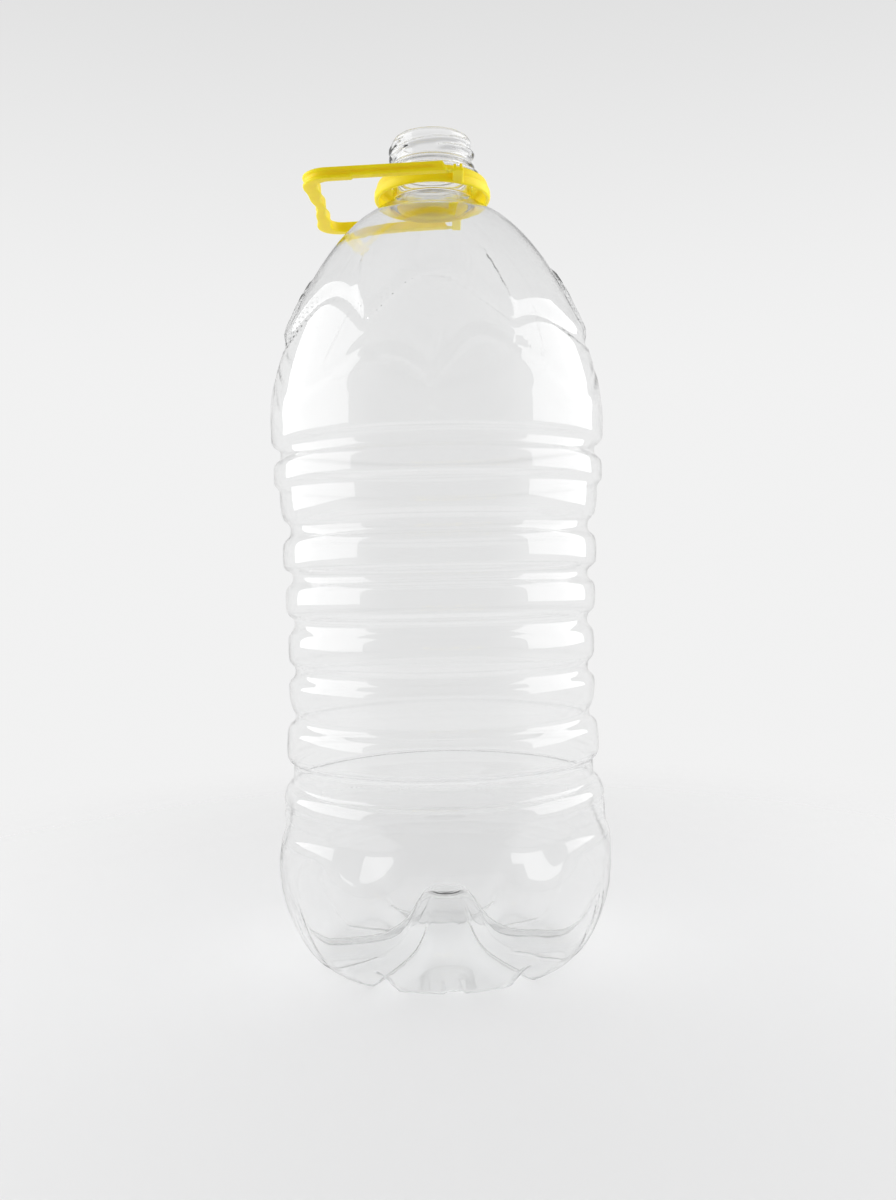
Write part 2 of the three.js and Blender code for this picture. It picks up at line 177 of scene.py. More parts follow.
HINGE = np.array({joint["name"]: joint for joint in frame["joints"]}["bail_swing"]["pos_m"]) / MM
HINGE_GAP = 1.1  # from the hinge axis to the arm on one side and to the lug on the other
WEB_THICKNESS = 0.6
WEB_WAIST = 0.35  # its thickness along the hinge axis, where it bends
LUG_LENGTH = 4.4
LUG_TOP = 0.3  # above the hinge axis
LUG_BOTTOM = -0.7
GUSSET_THICKNESS = 1.3
GUSSET_HEIGHT = 4.4
GUSSET_START = 0.2  # from the near end of the lug
GUSSET_PITCH = 2.6

RING_COLUMNS = 240
RING_VOXEL = 0.28  # the grain at which the ring, lugs and gussets are fused
RING_PASSES = 4

ARM_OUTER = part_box("handle_bail")[1].y / MM  # half the width over both arms
ARM_THICKNESS = 4.4
ARM_TOP = 3.8  # above the hinge axis
ARM_BOTTOM = -0.3
ARM_END_SLANT = 0.54  # how far the ends of the arms lean back for each unit of height
CHANNEL_DEPTH = 0.9
FLANGE_HEIGHT = 1.2  # each flange of the bail's channel section
END_BLOCK = 5  # the channel stops this far from the hinge axis
GRIP_REACH = 64  # from the hinge axis to the outside of the grip's corners
GRIP_THICKNESS = 5.2
GRIP_BOTTOM = -0.9
GRIP_START = 42  # the deeper grip section begins this far from the hinge axis
CORNER_RADIUS = 11  # outside the grip's corners
INNER_CORNER_RADIUS = 6
FINGER_PITCH = 18.5
FINGER_WAVE = 0.6  # on the inside of the grip
KNUCKLE_WAVE = 0.42  # on its outside
GRIP_HOLLOW = 2.4  # how far the middle of the grip bows towards the neck
DROOP = math.radians(-2.1)  # the resting slope of the bail
WEB_SIDES = 24  # points around the section of a living hinge

# ---- Sizes of the studio, in metres ----
FLOOR_COLUMNS = 96
FLOOR_RINGS = 75
FLOOR_STEP = 0.02  # between rings of the floor
FLOOR_DROP = 0.2  # in millimetres, so that the feet don't share its surface
FLOOR_FADE = (0.14, 0.5)  # the radii between which it fades away
SOFTBOX_DISTANCE = 0.62  # from the bottle's axis
SOFTBOX_BOTTOM = 0.12
SOFTBOX_TOP = 0.83
SOFTBOX_RADIANCE = 2.0


# ---- Helpers for shapes ----
def smooth(low, high, value):
    """0 up to low, 1 from high and an even ease between them."""
    t = np.clip((np.asarray(value, float) - low) / (high - low), 0, 1)
    return t * t * (3 - 2 * t)


def rounded(points, blur, grain=0.1):
    """A fine polyline through points, one point every grain, each corner eased over about blur."""
    points = np.asarray(points, float)
    lengths = np.concatenate([[0], np.cumsum(np.linalg.norm(np.diff(points, axis=0), axis=1))])
    along = np.arange(0, lengths[-1], grain)
    fine = np.column_stack([np.interp(along, lengths, points[:, k]) for k in (0, 1)])
    reach = int(3 * blur / grain)
    kernel = np.exp(-0.5 * (np.arange(-reach, reach + 1) * grain / blur) ** 2)
    kernel /= kernel.sum()
    before = 2 * fine[0] - fine[reach:0:-1]
    after = 2 * fine[-1] - fine[-2:-reach - 2:-1]
    padded = np.vstack([before, fine, after])
    return np.column_stack([np.convolve(padded[:, k], kernel, "valid") for k in (0, 1)])


def thinned(curve, count, extra):
    """count points of a fine curve, closer together where it bends and where extra is large."""
    step = np.diff(curve, axis=0)
    length = np.linalg.norm(step, axis=1)
    heading = np.unwrap(np.arctan2(step[:, 1], step[:, 0]))
    bend = np.abs(np.gradient(heading)) / length
    reach = 15
    bend = np.convolve(np.pad(bend, reach, mode="edge"), np.ones(2 * reach + 1) / (2 * reach + 1), "valid")
    weight = (0.3 + np.sqrt(bend) + extra[:-1]) * length
    total = np.concatenate([[0], np.cumsum(weight)])
    places = np.interp(np.linspace(0, total[-1], count), total, np.arange(len(total)))
    return np.column_stack([np.interp(places, np.arange(len(curve)), curve[:, k]) for k in (0, 1)])


def quads(rows, columns):
    """The faces between neighbouring rows of a closed grid of vertices, numbered row by row."""
    row, column = np.meshgrid(np.arange(rows - 1), np.arange(columns), indexing="ij")
    here = row * columns + column
    right = row * columns + (column + 1) % columns
    return np.stack([here, right, right + columns, here + columns], -1).reshape(-1, 4).tolist()


def quads_closed(rows, columns):
    """As quads, and the last row joins the first."""
    last = rows - 1
    faces = quads(rows, columns)
    for column in range(columns):
        following = (column + 1) % columns
        faces.append([last * columns + column, last * columns + following, following, column])
    return faces


def lathe_grid(profile, angle):
    """A row of vertices around Z for each radius and height of a profile."""
    return np.stack([
        np.stack([radius * np.cos(angle), radius * np.sin(angle), np.full(len(angle), height)], -1)
        for radius, height in profile
    ])


def make_piece(name, vertices, faces, material):
    """A smooth mesh object from vertices in millimetres."""
    mesh = bpy.data.meshes.new(name)
    mesh.from_pydata((np.asarray(vertices, float) * MM).tolist(), [], faces)
    mesh.polygons.foreach_set("use_smooth", [True] * len(mesh.polygons))
    mesh.materials.append(material)
    piece = bpy.data.objects.new(name, mesh)
    bpy.context.scene.collection.objects.link(piece)
    return piece


# ---- Materials ----
def new_material(name):
    """A node material with its Principled shader, and a function that adds a node to it."""
    material = bpy.data.materials.new(name)
    material.use_nodes = True
    tree = material.node_tree

    def add(kind, **settings):
        node = tree.nodes.new(kind)
        for key, value in settings.items():
            if hasattr(node, key):
                setattr(node, key, value)
            else:
                node.inputs[key.replace("_", " ")].default_value = value
        return node

    return material, tree, tree.nodes["Principled BSDF"], add


def clear_pet():
    """Blown PET: clear, glossy, with the faint unevenness of a stretched wall."""
    material, tree, shader, add = new_material("clear_pet")
    shader.inputs["Base Color"].default_value = (0.972, 0.974, 0.974, 1)
    shader.inputs["Roughness"].default_value = 0.02
    shader.inputs["IOR"].default_value = 1.57
    shader.inputs["Transmission Weight"].default_value = 1
    place = add("ShaderNodeTexCoord")
    uneven = add("ShaderNodeTexNoise", Scale=60, Detail=2)
    bump = add("ShaderNodeBump", Strength=0.04, Distance=0.001)
    tree.links.new(place.outputs["Object"], uneven.inputs["Vector"])
    tree.links.new(uneven.outputs["Fac"], bump.inputs["Height"])
    tree.links.new(bump.outputs["Normal"], shader.inputs["Normal"])
    through = add("ShaderNodeBsdfTransparent", Color=(0.985, 0.987, 0.987, 1))
    path = add("ShaderNodeLightPath")
    mix = add("ShaderNodeMixShader")
    output = tree.nodes["Material Output"]
    tree.links.new(path.outputs["Is Shadow Ray"], mix.inputs[0])
    tree.links.new(shader.outputs[0], mix.inputs[1])
    tree.links.new(through.outputs[0], mix.inputs[2])
    tree.links.new(mix.outputs[0], output.inputs["Surface"])
    return material


def yellow_plastic():
    """Moulded polyethylene, slightly translucent, with a soft gloss and a faint flow mottle."""
    material, tree, shader, add = new_material("yellow_plastic")
    shader.inputs["Roughness"].default_value = 0.42
    shader.inputs["Specular IOR Level"].default_value = 0.3
    shader.inputs["Subsurface Weight"].default_value = 0.5
    shader.inputs["Subsurface Radius"].default_value = (1, 0.8, 0.1)
    shader.inputs["Subsurface Scale"].default_value = 0.004
    place = add("ShaderNodeTexCoord")
    flow = add("ShaderNodeTexNoise", Scale=90, Detail=3)
    tint = add("ShaderNodeValToRGB")
    tint.color_ramp.elements[0].position = 0.3
    tint.color_ramp.elements[0].color = (0.90, 0.69, 0.002, 1)
    tint.color_ramp.elements[1].position = 0.7
    tint.color_ramp.elements[1].color = (0.97, 0.77, 0.004, 1)
    grain = add("ShaderNodeTexNoise", Scale=900, Detail=2)
    bump = add("ShaderNodeBump", Strength=0.12, Distance=0.0002)
    tree.links.new(place.outputs["Object"], flow.inputs["Vector"])
    tree.links.new(place.outputs["Object"], grain.inputs["Vector"])
    tree.links.new(flow.outputs["Fac"], tint.inputs["Fac"])
    tree.links.new(tint.outputs["Color"], shader.inputs["Base Color"])
    tree.links.new(grain.outputs["Fac"], bump.inputs["Height"])
    tree.links.new(bump.outputs["Normal"], shader.inputs["Normal"])
    return material


# ---- Bottle: outline ----
def base_outline():
    """From the gate out to the sole: a level crown, a bell-shaped flank and the sole."""
    radii = [0, 3, *np.linspace(CROWN_RADIUS, 34, 22), 38, 43, FOOT_INNER]

    def bell(radius):
        return 1 / (1 + (max(radius - CROWN_RADIUS, 0) / PUSH_UP_FALL) ** 3)

    sole = bell(FOOT_INNER)
    return [(radius, PUSH_UP_HEIGHT * (bell(radius) - sole) / (1 - sole)) for radius in radii]


def heel_outline(count=16):
    """A quarter of a superellipse from the sole to the side wall."""
    turns = [index / count * math.pi / 2 for index in range(count)]
    return [
        (
            FOOT_OUTER + (BODY_RADIUS - FOOT_OUTER) * math.sin(turn) ** (2 / HEEL_POWER),
            HEEL_HEIGHT * (1 - math.cos(turn) ** (2 / HEEL_POWER)),
        )
        for turn in turns
    ]


def wall_outline():
    """The rings and the grooves between them."""
    points = []
    for index, (bottom, top, lower, upper) in enumerate(RINGS):
        bulge = RING_BULGE if index in BULGING_RINGS else 0
        drop = ROLL_DROP if index in ROLLED_RINGS else 0
        for share in np.linspace(0, 1, 13):
            height = bottom + (top - bottom) * share
            swell = bulge * math.sin(math.pi * share) ** 0.8
            roll = drop * max(0, 1 - (top - height) / ROLL_HEIGHT) ** 2
            points.append((lower + (upper - lower) * share + swell - roll, height))
        floor = GROOVE_FLOORS[index] if index < len(GROOVE_FLOORS) else None
        if floor:
            flank = (WAIST_SLOPE if index == WAIST else GROOVE_SLOPE) * (RINGS[index + 1][0] - top)
            points += [(floor, top + flank), (floor, RINGS[index + 1][0] - flank)]
    return points


def shoulder_radius(height):
    rise = (height - SHOULDER_BOTTOM) / (SHOULDER_APEX - SHOULDER_BOTTOM)
    return SHOULDER_RADIUS * (1 - rise ** SHOULDER_RISE_POWER) ** SHOULDER_CURVE_POWER


def shoulder_outline(count=40):
    bottom = SHOULDER_BOTTOM + 4
    shares = [math.sin(index / (count - 1) * math.pi / 2) for index in range(count)]
    heights = [bottom + (SHOULDER_CONE_BOTTOM - bottom) * share for share in shares]
    return [(shoulder_radius(height), height) for height in heights]


def neck_outline():
    """Support flange, tamper-band bead and sealing rim, up to the edge of the bore."""
    flange_top = FLANGE_BOTTOM + FLANGE_THICKNESS
    return [
        (NECK_RADIUS, NECK_BOTTOM),
        (NECK_RADIUS, FLANGE_BOTTOM - 0.4),
        (FLANGE_RADIUS, FLANGE_BOTTOM),
        (FLANGE_RADIUS, flange_top),
        (NECK_RADIUS, flange_top + 0.5),
        (NECK_RADIUS, BAND_BEAD_BOTTOM - 0.3),
        (BAND_BEAD_RADIUS, BAND_BEAD_BOTTOM),
        (BAND_BEAD_RADIUS, BAND_BEAD_BOTTOM + BAND_BEAD_LAND),
        (NECK_RADIUS, BAND_BEAD_BOTTOM + 2),
        (NECK_RADIUS, RIM_HEIGHT - RIM_CHAMFER * 1.6),
        (NECK_RADIUS - RIM_CHAMFER, RIM_HEIGHT),
        (BORE_RADIUS + 0.2, RIM_HEIGHT),
    ]


def bore_outline():
    """From the rim down the bore, and round the fillet to the inside of the shoulder."""
    top = NECK_BOTTOM - 0.4
    levels = [RIM_HEIGHT - 0.2, RIM_HEIGHT - 3, (RIM_HEIGHT + top) / 2, top + 2]
    outline = [(BORE_RADIUS, level) for level in levels]
    for turn in np.radians(np.linspace(180, 235, 7)):
        outline.append((BORE_RADIUS + BORE_FILLET * (1 + math.cos(turn)), top + BORE_FILLET * math.sin(turn)))
    return outline


# ---- Bottle: relief, as a distance along the outward normal ----
def corner_angle(angle, count, phase):
    """The signed angle from the nearest corner between two of count equal sectors."""
    pitch = 2 * math.pi / count
    turns = (angle - phase) / pitch - 0.5
    return (turns - np.round(turns)) * pitch


def hump(distance, half_width):
    """1 at no distance, easing to 0 at half_width."""
    return 1 - smooth(0, half_width, np.abs(distance))


def flutes(radius, height, angle):
    """The narrow valleys between the feet, which run up the heel and in to the push-up."""
    half_angle = FLUTE_HALF_ANGLE * (1 - 0.35 * smooth(25, FOOT_OUTER, radius))
    across = np.minimum(np.abs(corner_angle(angle, PETALS, PETAL_PHASE)) / half_angle, 1)
    on_heel = 0.6 * (1 - smooth(0, 12, height)) + 0.4 * (1 - smooth(0, FLUTE_TOP, height))
    on_heel = np.where(radius > FOOT_INNER, on_heel, 1)
    section = 0.5 + 0.5 * np.cos(across * math.pi)
    return -FLUTE_DEPTH * section * on_heel * smooth(9, 22, radius)


def dimples(height, angle):
    """A shallow dimple above the top of each flute."""
    across = corner_angle(angle, PETALS, PETAL_PHASE) * BODY_RADIUS / DIMPLE_STRETCH
    return -DIMPLE_DEPTH * hump(np.hypot(across, height - DIMPLE_HEIGHT), DIMPLE_RADIUS)


def petal_creases(radius, height, angle):
    """A flat channel from the sole of each foot up its heel, which tapers to a point."""
    middle = math.pi / PETALS - np.abs(corner_angle(angle, PETALS, PETAL_PHASE))
    taper = np.clip((CREASE_TOP - height) / (CREASE_TOP - CREASE_TAPER_BOTTOM), 0.001, 1) ** 0.5
    across = middle * radius / (CREASE_HALF_WIDTH * taper)
    return -CREASE_DEPTH * taper * (1 - smooth(0.58, 1, across)) * smooth(30, 38, radius)


def heel_line(height):
    return -HEEL_LINE_DEPTH * np.exp(-(((height - HEEL_LINE) / HEEL_LINE_SPREAD) ** 2))


def groove(distance, height):
    """A groove with a short lower flank, and a longer upper flank that rises to a soft crest."""
    return height * (
        -smooth(-3, 0, distance) + 1.7 * smooth(0, 5.5, distance) - 0.7 * smooth(5.5, 17, distance))


def shoulder_relief(radius, height, angle):
    """An arched and a hanging groove around each panel, and a slender leaf above each corner."""
    corner = corner_angle(angle, PANELS, PANEL_PHASE)
    swing = np.abs(np.sin(corner * PANELS / 2))
    sweep = ARCH_SWEEP * (1 - np.cos(2 * (angle - ARCH_SWEEP_PHASE)))
    arch = ARCH_LOW + (ARCH_HIGH - sweep - ARCH_LOW) * swing
    swag = SWAG_HIGH + (SWAG_LOW - SWAG_HIGH) * swing
    lines = groove(height - arch, ARCH_HEIGHT) + groove(swag - height, SWAG_HEIGHT)
    rise = np.clip((height - ARCH_LOW) / (LEAF_TOP - ARCH_LOW), 0, 1)
    lean = corner_angle(angle - LEAF_LEAN * rise, PANELS, PANEL_PHASE)
    half_width = LEAF_HALF_WIDTH * np.maximum(np.sin(math.pi * rise ** 0.7), 0.02)
    inside = np.clip(1 - np.abs(lean) * radius / half_width, 0, 1)
    leaf = LEAF_HEIGHT * smooth(0, 0.7, inside) * np.sin(math.pi * rise) ** 0.5
    return lines + leaf


def threads(height, angle):
    """Three round threads on one helix, which fade out at both ends."""
    relief = 0
    for start in range(THREAD_STARTS):
        first = THREAD_FIRST_ANGLE + start * 2 * math.pi / THREAD_STARTS
        t = ((angle - first) % (2 * math.pi)) / THREAD_SWEEP
        line = THREAD_BOTTOM + t * THREAD_SWEEP * THREAD_LEAD / (2 * math.pi)
        fade = smooth(0, 0.1, t) * (1 - smooth(0.9, 1, t))
        across = np.clip(1 - ((height - line) / THREAD_HALF_WIDTH) ** 2, 0, 1)
        relief = np.maximum(relief, THREAD_HEIGHT * fade * across ** 0.7)
    return relief


def unevenness(height, angle):
    """The slight waviness of a blown wall."""
    return UNEVENNESS * (
        np.sin(3 * angle + height / 23)
        + np.sin(5 * angle - height / 31 + 1.3)
        + np.sin(2 * angle + height / 11 + 4)
    )


def relief(radius, height, angle):
    lower = flutes(radius, height, angle) + petal_creases(radius, height, angle) + heel_line(height)
    low = np.where(height < HEEL_HEIGHT, lower, 0) + dimples(height, angle)
    upper = shoulder_relief(radius, height, angle) * smooth(SHOULDER_BOTTOM + 1, SHOULDER_BOTTOM + 7, height)
    high = np.where((height > SHOULDER_BOTTOM) & (height < NECK_BOTTOM - 8), upper, 0)
    screwed = (height > BAND_BEAD_BOTTOM + 1.5) & (radius > NECK_RADIUS - 0.4)
    on_neck = np.where(screwed, threads(height, angle), 0)
    ring = CROWN_RING_HEIGHT * hump(radius - CROWN_RING, CROWN_RING_HALF_WIDTH)
    crown_ring = np.where(height < PUSH_UP_HEIGHT + 1, ring, 0)
    wall = smooth(HEEL_HEIGHT, HEEL_HEIGHT + 20, height) * (1 - smooth(320, 335, height))
    return low + high + on_neck + crown_ring + wall * unevenness(height, angle)


def wall_thickness(radius, height):
    near_gate = (1 - smooth(6, 16, radius)) * (height < HEEL_HEIGHT)
    near_neck = smooth(SHOULDER_BOTTOM + 40, NECK_BOTTOM - 4, height)
    return BODY_WALL + near_gate * (GATE_WALL - BODY_WALL) + near_neck * (NECK_ROOT_WALL - BODY_WALL)


def column_angles(height):
    """The angle of each column at each height, closer together at the feet's and panels' corners."""
    even = np.arange(COLUMNS) / COLUMNS * 2 * math.pi - math.pi / 2
    fine_base = 0.6 * (1 - smooth(HEEL_HEIGHT - 6, HEEL_HEIGHT + 20, height))[:, None]
    fine_shoulder = 0.35 * smooth(SHOULDER_BOTTOM - 10, SHOULDER_BOTTOM + 15, height)[:, None]
    fine_shoulder = fine_shoulder * (1 - smooth(310, 330, height))[:, None]
    at_base = np.sin(2 * PETALS * (even - PETAL_PHASE)) / (2 * PETALS)
    at_shoulder = np.sin(PANELS * (even - PANEL_PHASE)) / PANELS
    return even - fine_base * at_base + fine_shoulder * at_shoulder


def grid_normals(grid):
    """Outward normals of a grid of points whose columns close on themselves."""
    up = np.gradient(grid, axis=0)
    around = np.roll(grid, -1, axis=1) - np.roll(grid, 1, axis=1)
    normal = np.cross(around, up)
    return normal / np.maximum(np.linalg.norm(normal, axis=2, keepdims=True), 1e-9)


def make_bottle(material):
    """The closed shell: outer skin and neck, bore, and the lining one wall thickness inside the skin."""
    outline = base_outline() + heel_outline() + wall_outline() + shoulder_outline() + neck_outline()
    broad, firm, tight = (rounded(outline, blur) for blur in (WALL_BLUR, LOW_BLUR, NECK_BLUR))
    neck_share = smooth(NECK_BOTTOM - 4, NECK_BOTTOM + 1, broad[:, 1])[:, None]
    low_share = 1 - smooth(*LOW_BLUR_ENDS, broad[:, 1])[:, None]
    curve = broad + (tight - broad) * neck_share + (firm - broad) * low_share
    on_shoulder = smooth(SHOULDER_BOTTOM, SHOULDER_BOTTOM + 6, curve[:, 1])
    on_base = 1 - smooth(HEEL_HEIGHT - 6, HEEL_HEIGHT, curve[:, 1])
    rows = thinned(curve, ROWS, 0.9 * neck_share[:, 0] + 0.25 * on_shoulder + 0.1 * on_base)
    rows = rows[rows[:, 0] > 0.4]
    slope = np.gradient(rows, axis=0)
    slope /= np.linalg.norm(slope, axis=1, keepdims=True)
    under = rows[:, 0] < FOOT_INNER
    slope[under & (rows[:, 1] < HEEL_HEIGHT)] = (1, 0)  # the relief of the underside is upright
    turn = column_angles(rows[:, 1])
    radius = np.repeat(rows[:, :1], COLUMNS, axis=1)
    height = np.repeat(rows[:, 1:], COLUMNS, axis=1)
    push = relief(radius, height, turn)
    radius = radius + push * slope[:, 1:]
    raised = height - push * slope[:, :1]
    outer = np.stack([radius * np.cos(turn), radius * np.sin(turn), raised], -1)

    skin = (rows[:, 0] > NECK_RADIUS + 1.2) & (rows[:, 1] < NECK_BOTTOM) | (rows[:, 1] < SHOULDER_BOTTOM)
    thick = wall_thickness(rows[:, 0], rows[:, 1])[:, None, None]
    lining = (outer - grid_normals(outer) * thick)[skin]
    bore = lathe_grid(bore_outline(), turn[-1])
    grid = np.concatenate([outer, bore, lining[::-1]])
    count = len(grid)
    body = grid.reshape(-1, 3)
    vertices = np.vstack([body, (0, 0, rows[0, 1]), (0, 0, rows[0, 1] + GATE_WALL)])
    gate, gate_inside = len(body), len(body) + 1
    faces = quads(count, COLUMNS)
    last = (count - 1) * COLUMNS
    for column in range(COLUMNS):
        following = (column + 1) % COLUMNS
        faces.append([gate, following, column])
        faces.append([last + column, last + following, gate_inside])
    return make_piece("clear_bottle", vertices, faces, material)


# ---- Handle: the ring ----
def ring_outline():
    """Half a section through the ring: a skirt, a shoulder that slopes in, and a web that ends in the lip."""
    web_bottom = RING_HEIGHT - 2.4
    return [
        (SKIRT_BORE, 0.9),
        (SKIRT_BORE + 0.6, 0.1),
        (RING_RADIUS - 1, 0),
        (RING_RADIUS - 0.2, 0.5),
        (RING_RADIUS, 1.6),
        (RING_RADIUS - 0.1, RING_STEP - 0.6),
        (RING_RADIUS - 0.5, RING_STEP),
        (RING_TOP_RADIUS + 0.8, RING_HEIGHT - 0.7),
        (RING_TOP_RADIUS, RING_HEIGHT),
        (LIP_RADIUS, RING_HEIGHT),
        (LIP_RADIUS, RING_HEIGHT - 1.2),
        (WEB_BORE, web_bottom + 0.3),
        (SKIRT_BORE - 1, web_bottom),
        (SKIRT_BORE, web_bottom - 1.6),
    ]


def prism(outline, bottom, top):
    """The vertices and faces of an outline in plan raised from bottom to top."""
    count = len(outline)
    vertices = [(x, y, z) for z in (bottom, top) for x, y in outline]
    faces = quads(2, count)
    faces.append(list(range(count))[::-1])
    faces.append(list(range(count, 2 * count)))
    return vertices, faces


def outrigger(side, from_x, to_x, reach, bottom, top):
    """A plate or gusset that stands out from the ring's skirt to one side."""
    root = SKIRT_BORE + 0.6
    outline = [(to_x, side * reach), (from_x, side * reach)]
    outline += [(x, side * math.sqrt(root**2 - x**2)) for x in np.linspace(from_x, to_x, 6)]
    return prism(outline[::side], bottom, top)


def lug_parts(side):
    """The lug that carries one living hinge, and its two gussets."""
    start = HINGE[0] + HINGE_GAP
    gusset_reach = ARM_OUTER - ARM_THICKNESS - 1.2
    parts = [outrigger(side, start, start + LUG_LENGTH, ARM_OUTER, HINGE[2] + LUG_BOTTOM, HINGE[2] + LUG_TOP)]
    for index in range(2):
        near = start + GUSSET_START + index * GUSSET_PITCH
        far = near + GUSSET_THICKNESS
        parts.append(outrigger(side, near, far, gusset_reach, HINGE[2], HINGE[2] + GUSSET_HEIGHT))
    return parts


def merged(parts):
    """Several sets of vertices and faces as one."""
    vertices, faces = [], []
    for part_vertices, part_faces in parts:
        faces += [[index + len(vertices) for index in face] for face in part_faces]
        vertices += list(map(tuple, part_vertices))
    return vertices, faces


def fused(piece, voxel, passes):
    """Joins a piece's overlapping solids into one skin of fine voxels with eased edges."""
    remesh = piece.modifiers.new("fuse", "REMESH")
    remesh.mode = "VOXEL"
    remesh.voxel_size = voxel * MM
    ease = piece.modifiers.new("ease", "SMOOTH")
    ease.factor = 0.5
    ease.iterations = passes
    view = bpy.context.evaluated_depsgraph_get()
    mesh = bpy.data.meshes.new_from_object(piece.evaluated_get(view))
    piece.modifiers.clear()
    mesh.polygons.foreach_set("use_smooth", [True] * len(mesh.polygons))
    piece.data = mesh


def make_ring(material):
    outline = ring_outline()
    around = np.arange(RING_COLUMNS) / RING_COLUMNS * 2 * math.pi
    grid = lathe_grid([(radius, RING_BOTTOM + height) for radius, height in outline + outline[:1]], around)
    skirt = (grid[:-1].reshape(-1, 3), quads_closed(len(outline), len(around)))
    vertices, faces = merged([skirt, *lug_parts(-1), *lug_parts(1)])
    ring = make_piece("yellow_ring", vertices, faces, material)
    fused(ring, RING_VOXEL, RING_PASSES)
    return ring


# ---- Handle: the bail, with its hinge axis along Y through the local origin ----
def grip_edges(y):
    """The outside and inside edges of the grip at a place across it, waved to fit the fingers."""
    half = ARM_OUTER - CORNER_RADIUS
    fingers = np.cos(2 * math.pi * y / FINGER_PITCH) * (1 - smooth(0.8 * half, half, np.abs(y)))
    hollow = GRIP_HOLLOW * (0.5 + 0.5 * np.cos(math.pi * np.minimum(np.abs(y) / half, 1)))
    outer = -GRIP_REACH + hollow + KNUCKLE_WAVE * fingers
    inner = -GRIP_REACH + GRIP_THICKNESS + GRIP_HOLLOW / 2 + FINGER_WAVE * fingers
    return outer, inner


def bail_half():
    """The outer and inner edge in plan, from the end of one arm to the middle of the grip."""
    half = ARM_OUTER - CORNER_RADIUS
    inner_y = ARM_OUTER - ARM_THICKNESS
    inner_half = inner_y - INNER_CORNER_RADIUS
    inner_x = grip_edges(inner_half)[1] + INNER_CORNER_RADIUS
    step = [GRIP_START - 1.5, GRIP_START + 1.5]
    along = np.concatenate([np.linspace(HINGE_GAP, step[0], 22)[:-1], np.linspace(*step, 13)])
    outer = [(-x, ARM_OUTER) for x in along]
    inner = [(-x, inner_y) for x in along]
    for share in np.linspace(0, 1, 7)[1:]:
        outer.append((-step[1] - share * (GRIP_REACH - CORNER_RADIUS - step[1]), ARM_OUTER))
        inner.append((-step[1] - share * (-inner_x - step[1]), inner_y))
    for turn in np.linspace(0, math.pi / 2, 15)[1:]:
        back, out = math.sin(turn), math.cos(turn)
        outer.append((-GRIP_REACH + CORNER_RADIUS * (1 - back), half + CORNER_RADIUS * out))
        inner.append((inner_x - INNER_CORNER_RADIUS * back, inner_half + INNER_CORNER_RADIUS * out))
    for share in np.linspace(1, 0, 40)[1:]:
        outer.append((grip_edges(share * half)[0], share * half))
        inner.append((grip_edges(share * inner_half)[1], share * inner_half))
    return np.array(outer), np.array(inner)


def bail_section(width, bottom, recess):
    """The channel section, as distance out from the inner edge and height, with eased corners."""
    edge = 0.45
    lip = FLANGE_HEIGHT
    ease = 0.35

    def corner(out, height, first):
        turns = first + np.linspace(0, math.pi / 2, 5)
        return [(out + edge * math.cos(turn), height + edge * math.sin(turn)) for turn in turns]

    return [
        *corner(width - edge, bottom + edge, -math.pi / 2),
        (width, bottom + lip - ease),
        (width - ease * recess / CHANNEL_DEPTH, bottom + lip),
        (width - recess, bottom + lip + ease),
        (width - recess, (bottom + ARM_TOP) / 2),
        (width - recess, ARM_TOP - lip - ease),
        (width - ease * recess / CHANNEL_DEPTH, ARM_TOP - lip),
        (width, ARM_TOP - lip + ease),
        *corner(width - edge, ARM_TOP - edge, 0),
        (width / 2, ARM_TOP),
        *corner(edge, ARM_TOP - edge, math.pi / 2),
        (0, (bottom + ARM_TOP) / 2),
        *corner(edge, bottom + edge, math.pi),
        (width / 2, bottom),
    ]


def make_bail(material):
    """The section swept round the U, with slanted ends, at its resting slope."""
    outer, inner = bail_half()
    outer = np.vstack([outer, (outer * (1, -1))[-2::-1]])
    inner = np.vstack([inner, (inner * (1, -1))[-2::-1]])
    rows = []
    for (outer_x, outer_y), (inner_x, inner_y) in zip(outer, inner):
        width = math.hypot(outer_x - inner_x, outer_y - inner_y)
        deep = smooth(GRIP_START - 0.6, GRIP_START + 0.6, -outer_x)
        bottom = ARM_BOTTOM + (GRIP_BOTTOM - ARM_BOTTOM) * deep
        near_end = 1 - smooth(HINGE_GAP, GRIP_START, -outer_x)
        recess = CHANNEL_DEPTH * smooth(END_BLOCK, END_BLOCK + 1.5, -outer_x)
        row = []
        for out, height in bail_section(width, bottom, recess):
            share = out / width
            lean = ARM_END_SLANT * (height - ARM_BOTTOM) * near_end
            x = inner_x + (outer_x - inner_x) * share - lean
            row.append((x, inner_y + (outer_y - inner_y) * share, height))
        rows.append(row)
    grid = np.array(rows)
    count, width = grid.shape[:2]
    faces = [face[::-1] for face in quads(count, width)]
    faces.append(list(range(width)))
    faces.append([(count - 1) * width + index for index in range(width)][::-1])
    body = grid.reshape(-1, 3)
    slope = np.array([
        [math.cos(DROOP), 0, math.sin(DROOP)],
        [0, 1, 0],
        [-math.sin(DROOP), 0, math.cos(DROOP)],
    ])
    return make_piece("yellow_bail", body @ slope.T + HINGE, faces, material)


